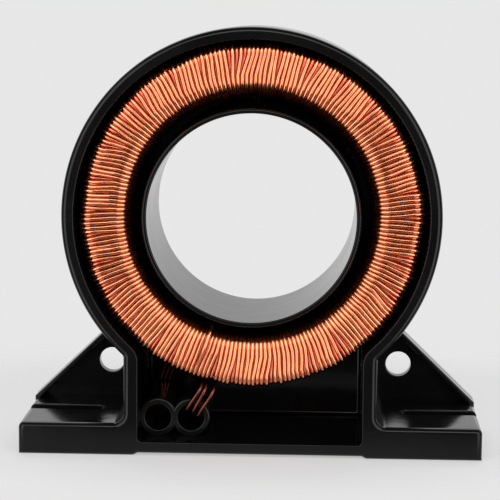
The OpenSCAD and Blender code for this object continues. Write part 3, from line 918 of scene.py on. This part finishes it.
# Panels of light, in metres: their middle, how wide and how tall they are, and how bright
PANELS = {
    "left_panel": ((-0.345, -0.46, 0.04), (0.45, 0.80), 2.35),
    "right_panel": ((0.345, -0.46, 0.04), (0.45, 0.80), 2.35),
    "front_panel": ((0, -0.58, 0.32), (0.28, 0.26), 3.4),
    "rear_panel": ((0, 0.35, 0.45), (0.60, 0.36), 2.2),
}


def make_camera():
    """The camera: a little above the crown and to the right of the window's middle, looking down."""
    azimuth, elevation = math.radians(CAMERA_AZIMUTH), math.radians(CAMERA_ELEVATION)
    roll = math.radians(CAMERA_ROLL)
    back = Vector((math.sin(azimuth) * math.cos(elevation), -math.cos(azimuth) * math.cos(elevation),
                   math.sin(elevation)))
    level = Vector((math.cos(azimuth), math.sin(azimuth), 0))
    upward = back.cross(level)
    right = level * math.cos(roll) + upward * math.sin(roll)
    up = upward * math.cos(roll) - level * math.sin(roll)
    data = bpy.data.cameras.new("camera")
    data.lens = CAMERA_LENS
    camera = bpy.data.objects.new("camera", data)
    camera.matrix_world = Matrix((right, up, back)).transposed().to_4x4()
    camera.location = Vector(CAMERA_TARGET) * MM + back * (CAMERA_DISTANCE * MM)
    bpy.context.scene.collection.objects.link(camera)
    bpy.context.scene.camera = camera


def area_light(name, at, size, radiance):
    """A soft panel of that brightness that faces the window's centre."""
    data = bpy.data.lights.new(name, "AREA")
    data.shape = "RECTANGLE"
    data.size, data.size_y = size
    data.energy = radiance * math.pi * size[0] * size[1]
    light = bpy.data.objects.new(name, data)
    light.location = at
    light.rotation_mode = "QUATERNION"
    light.rotation_quaternion = (-Vector(at)).to_track_quat("-Z", "Y")
    bpy.context.scene.collection.objects.link(light)


def make_lights():
    """Tall panels at both sides, a small one over the camera and one above the rear."""
    for name, (at, size, radiance) in PANELS.items():
        area_light(name, at, size, radiance)


def mix_values(tree, chance, plain, picked):
    """A value that is plain, or picked where chance is 1; each is a number or a socket."""
    node = tree.nodes.new("ShaderNodeMix")
    for socket, value in zip((node.inputs[0], node.inputs[2], node.inputs[3]), (chance, plain, picked)):
        if isinstance(value, (int, float)):
            socket.default_value = value
        else:
            tree.links.new(value, socket)
    return node.outputs[0]


def mix_shaders(tree, share, plain, picked):
    """A shader that is plain, or picked where share is 1."""
    node = tree.nodes.new("ShaderNodeMixShader")
    for socket, output in zip(node.inputs, (share, plain, picked)):
        tree.links.new(output, socket)
    return node.outputs[0]


def make_world():
    """Pale to the camera; what gloss mirrors darkens towards the front, where the studio is unlit."""
    world = bpy.data.worlds.new("studio")
    world.use_nodes = True
    tree = world.node_tree
    background = tree.nodes["Background"]
    background.inputs["Color"].default_value = (1, 1, 1, 1)
    place = tree.nodes.new("ShaderNodeTexCoord")
    split = tree.nodes.new("ShaderNodeSeparateXYZ")
    tree.links.new(place.outputs["Generated"], split.inputs[0])
    studio = tree.nodes.new("ShaderNodeMapRange")
    studio.interpolation_type = "SMOOTHSTEP"
    set_inputs(studio, {"From Min": UNLIT_TO, "From Max": PALE_FROM, "To Min": UNLIT, "To Max": PALE})
    tree.links.new(split.outputs["Y"], studio.inputs["Value"])
    rays = tree.nodes.new("ShaderNodeLightPath")
    shown = mix_values(tree, rays.outputs["Is Camera Ray"], studio.outputs["Result"], PALE)
    lit = mix_values(tree, rays.outputs["Is Diffuse Ray"], shown, AMBIENT)
    tree.links.new(lit, background.inputs["Strength"])
    bpy.context.scene.world = world


def floor_material():
    """Pale paper that thins out to nothing; to the camera and in gloss a share of it glows."""
    material, tree, shader, add = new_material("pale_floor")
    paper = noise(tree, add, scale=40.0, detail=5.0)
    ramp(tree, paper.outputs["Fac"], 0.78, 0.80, shader.inputs["Base Color"])
    set_inputs(shader, {"Roughness": 0.9})
    rays = add("ShaderNodeLightPath")
    shown = rays.outputs["Is Camera Ray"]
    for kind in ("Is Glossy Ray", "Is Transmission Ray"):
        either = add("ShaderNodeMath", operation="MAXIMUM")
        tree.links.new(shown, either.inputs[0])
        tree.links.new(rays.outputs[kind], either.inputs[1])
        shown = either.outputs[0]
    glow = add("ShaderNodeEmission", strength=FLOOR_GLOW)
    glow_share = mix_values(tree, shown, 0.0, FLOOR_SHARE)
    sheet = mix_shaders(tree, glow_share, shader.outputs[0], glow.outputs[0])
    place = add("ShaderNodeTexCoord")
    reach = add("ShaderNodeVectorMath", operation="LENGTH")
    tree.links.new(place.outputs["Object"], reach.inputs[0])
    fade = add("ShaderNodeMapRange", interpolation_type="SMOOTHSTEP")
    set_inputs(fade, {"From Min": SHEET_WHOLE_R * MM, "From Max": SHEET_R * MM, "To Min": 0.0, "To Max": 1.0})
    tree.links.new(reach.outputs["Value"], fade.inputs["Value"])
    clear = add("ShaderNodeBsdfTransparent")
    surface = mix_shaders(tree, fade.outputs[0], sheet, clear.outputs[0])
    tree.links.new(surface, tree.nodes["Material Output"].inputs["Surface"])
    return material


def make_floor():
    """An oval sheet of pale paper under the feet, most of it behind them."""
    outline = [(x, y, 0) for x, y in ring(0, 0, SHEET_R, SHEET_STEPS)]
    floor = mesh_object("floor", outline, [tuple(range(len(outline)))], smooth=False)
    floor.location = Vector((0, SHEET_Y, BASE_Z - SHEET_DROP)) * MM
    floor.scale.x = SHEET_STRETCH
    floor.data.materials.append(floor_material())


make_camera()
make_world()
make_lights()
make_floor()
make_housing()
make_winding()
make_leads()
dress_nodes()
bpy.context.scene.view_settings.view_transform = "Standard"
